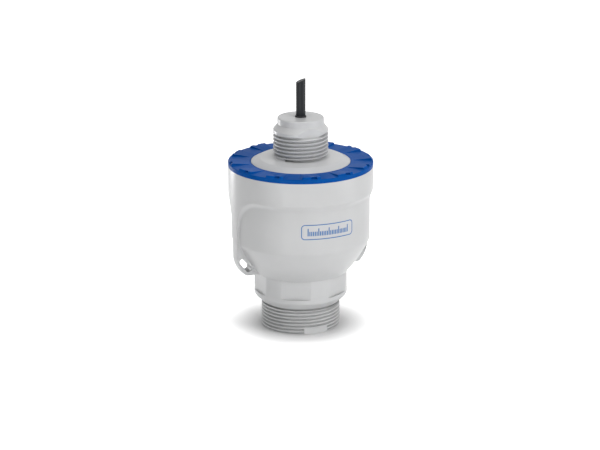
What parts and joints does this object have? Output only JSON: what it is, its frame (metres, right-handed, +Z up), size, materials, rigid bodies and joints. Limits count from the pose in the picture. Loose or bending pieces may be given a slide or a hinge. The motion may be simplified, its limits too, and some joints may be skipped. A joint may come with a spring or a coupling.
{
  "type": "radar level transmitter",
  "caption": "Compact plastic radar level sensor with threaded boss below, barrel housing with slotted ears, castellated ring and threaded neck with a fixed cable.",
  "frame": {"origin": "centre of the lower end face, on the axis of both threads", "axes": "+Z up along the axis to the cable, -Y to the front with the printed field, the two slotted ears lie on +X and -X"},
  "size_m": [0.0878, 0.0878, 0.1537],
  "materials": {
    "housing": "satin light grey moulding",
    "cover": "satin light grey moulding",
    "ring": "satin blue moulding",
    "cable": "smooth black jacket",
    "core": "smooth dark insulation",
    "rubber": "matte black",
    "dark_plastic": "matte dark grey",
    "steel": "plain",
    "circuit_board": "green solder mask",
    "chip": "matte black",
    "ferrite": "dark ferrite",
    "aluminium": "turned",
    "tinned_steel": "tinned sheet",
    "terminal": "green plastic",
    "foam": "absorber foam",
    "brass": "turned",
    "lens": "milky plastic"
  },
  "bodies": {
    "root": {"housing_body": "housing", "top_cover": "cover", "locking_ring": "ring", "cable_sheath": "cable", "core_plus": "core", "core_minus": "core", "cable_seal": "rubber", "cover_seal": "rubber", "gland_nut": "dark_plastic", "gland_washer": "steel", "cable_clamp": "dark_plastic", "clamp_screws": "steel", "board_carrier": "dark_plastic", "board_screws": "steel", "main_board": "circuit_board", "processor_chip": "chip", "power_coil": "ferrite", "capacitors": "aluminium", "wireless_module": "tinned_steel", "terminal_block": "terminal", "main_socket": "dark_plastic", "link_strip": "circuit_board", "rf_socket": "dark_plastic", "rf_board": "circuit_board", "radar_chip": "chip", "absorber_pad": "foam", "shield_can": "tinned_steel", "horn_screws": "steel", "antenna_horn": "aluminium", "waveguide_insert": "brass", "antenna_lens": "lens"}
  },
  "joints": []
}
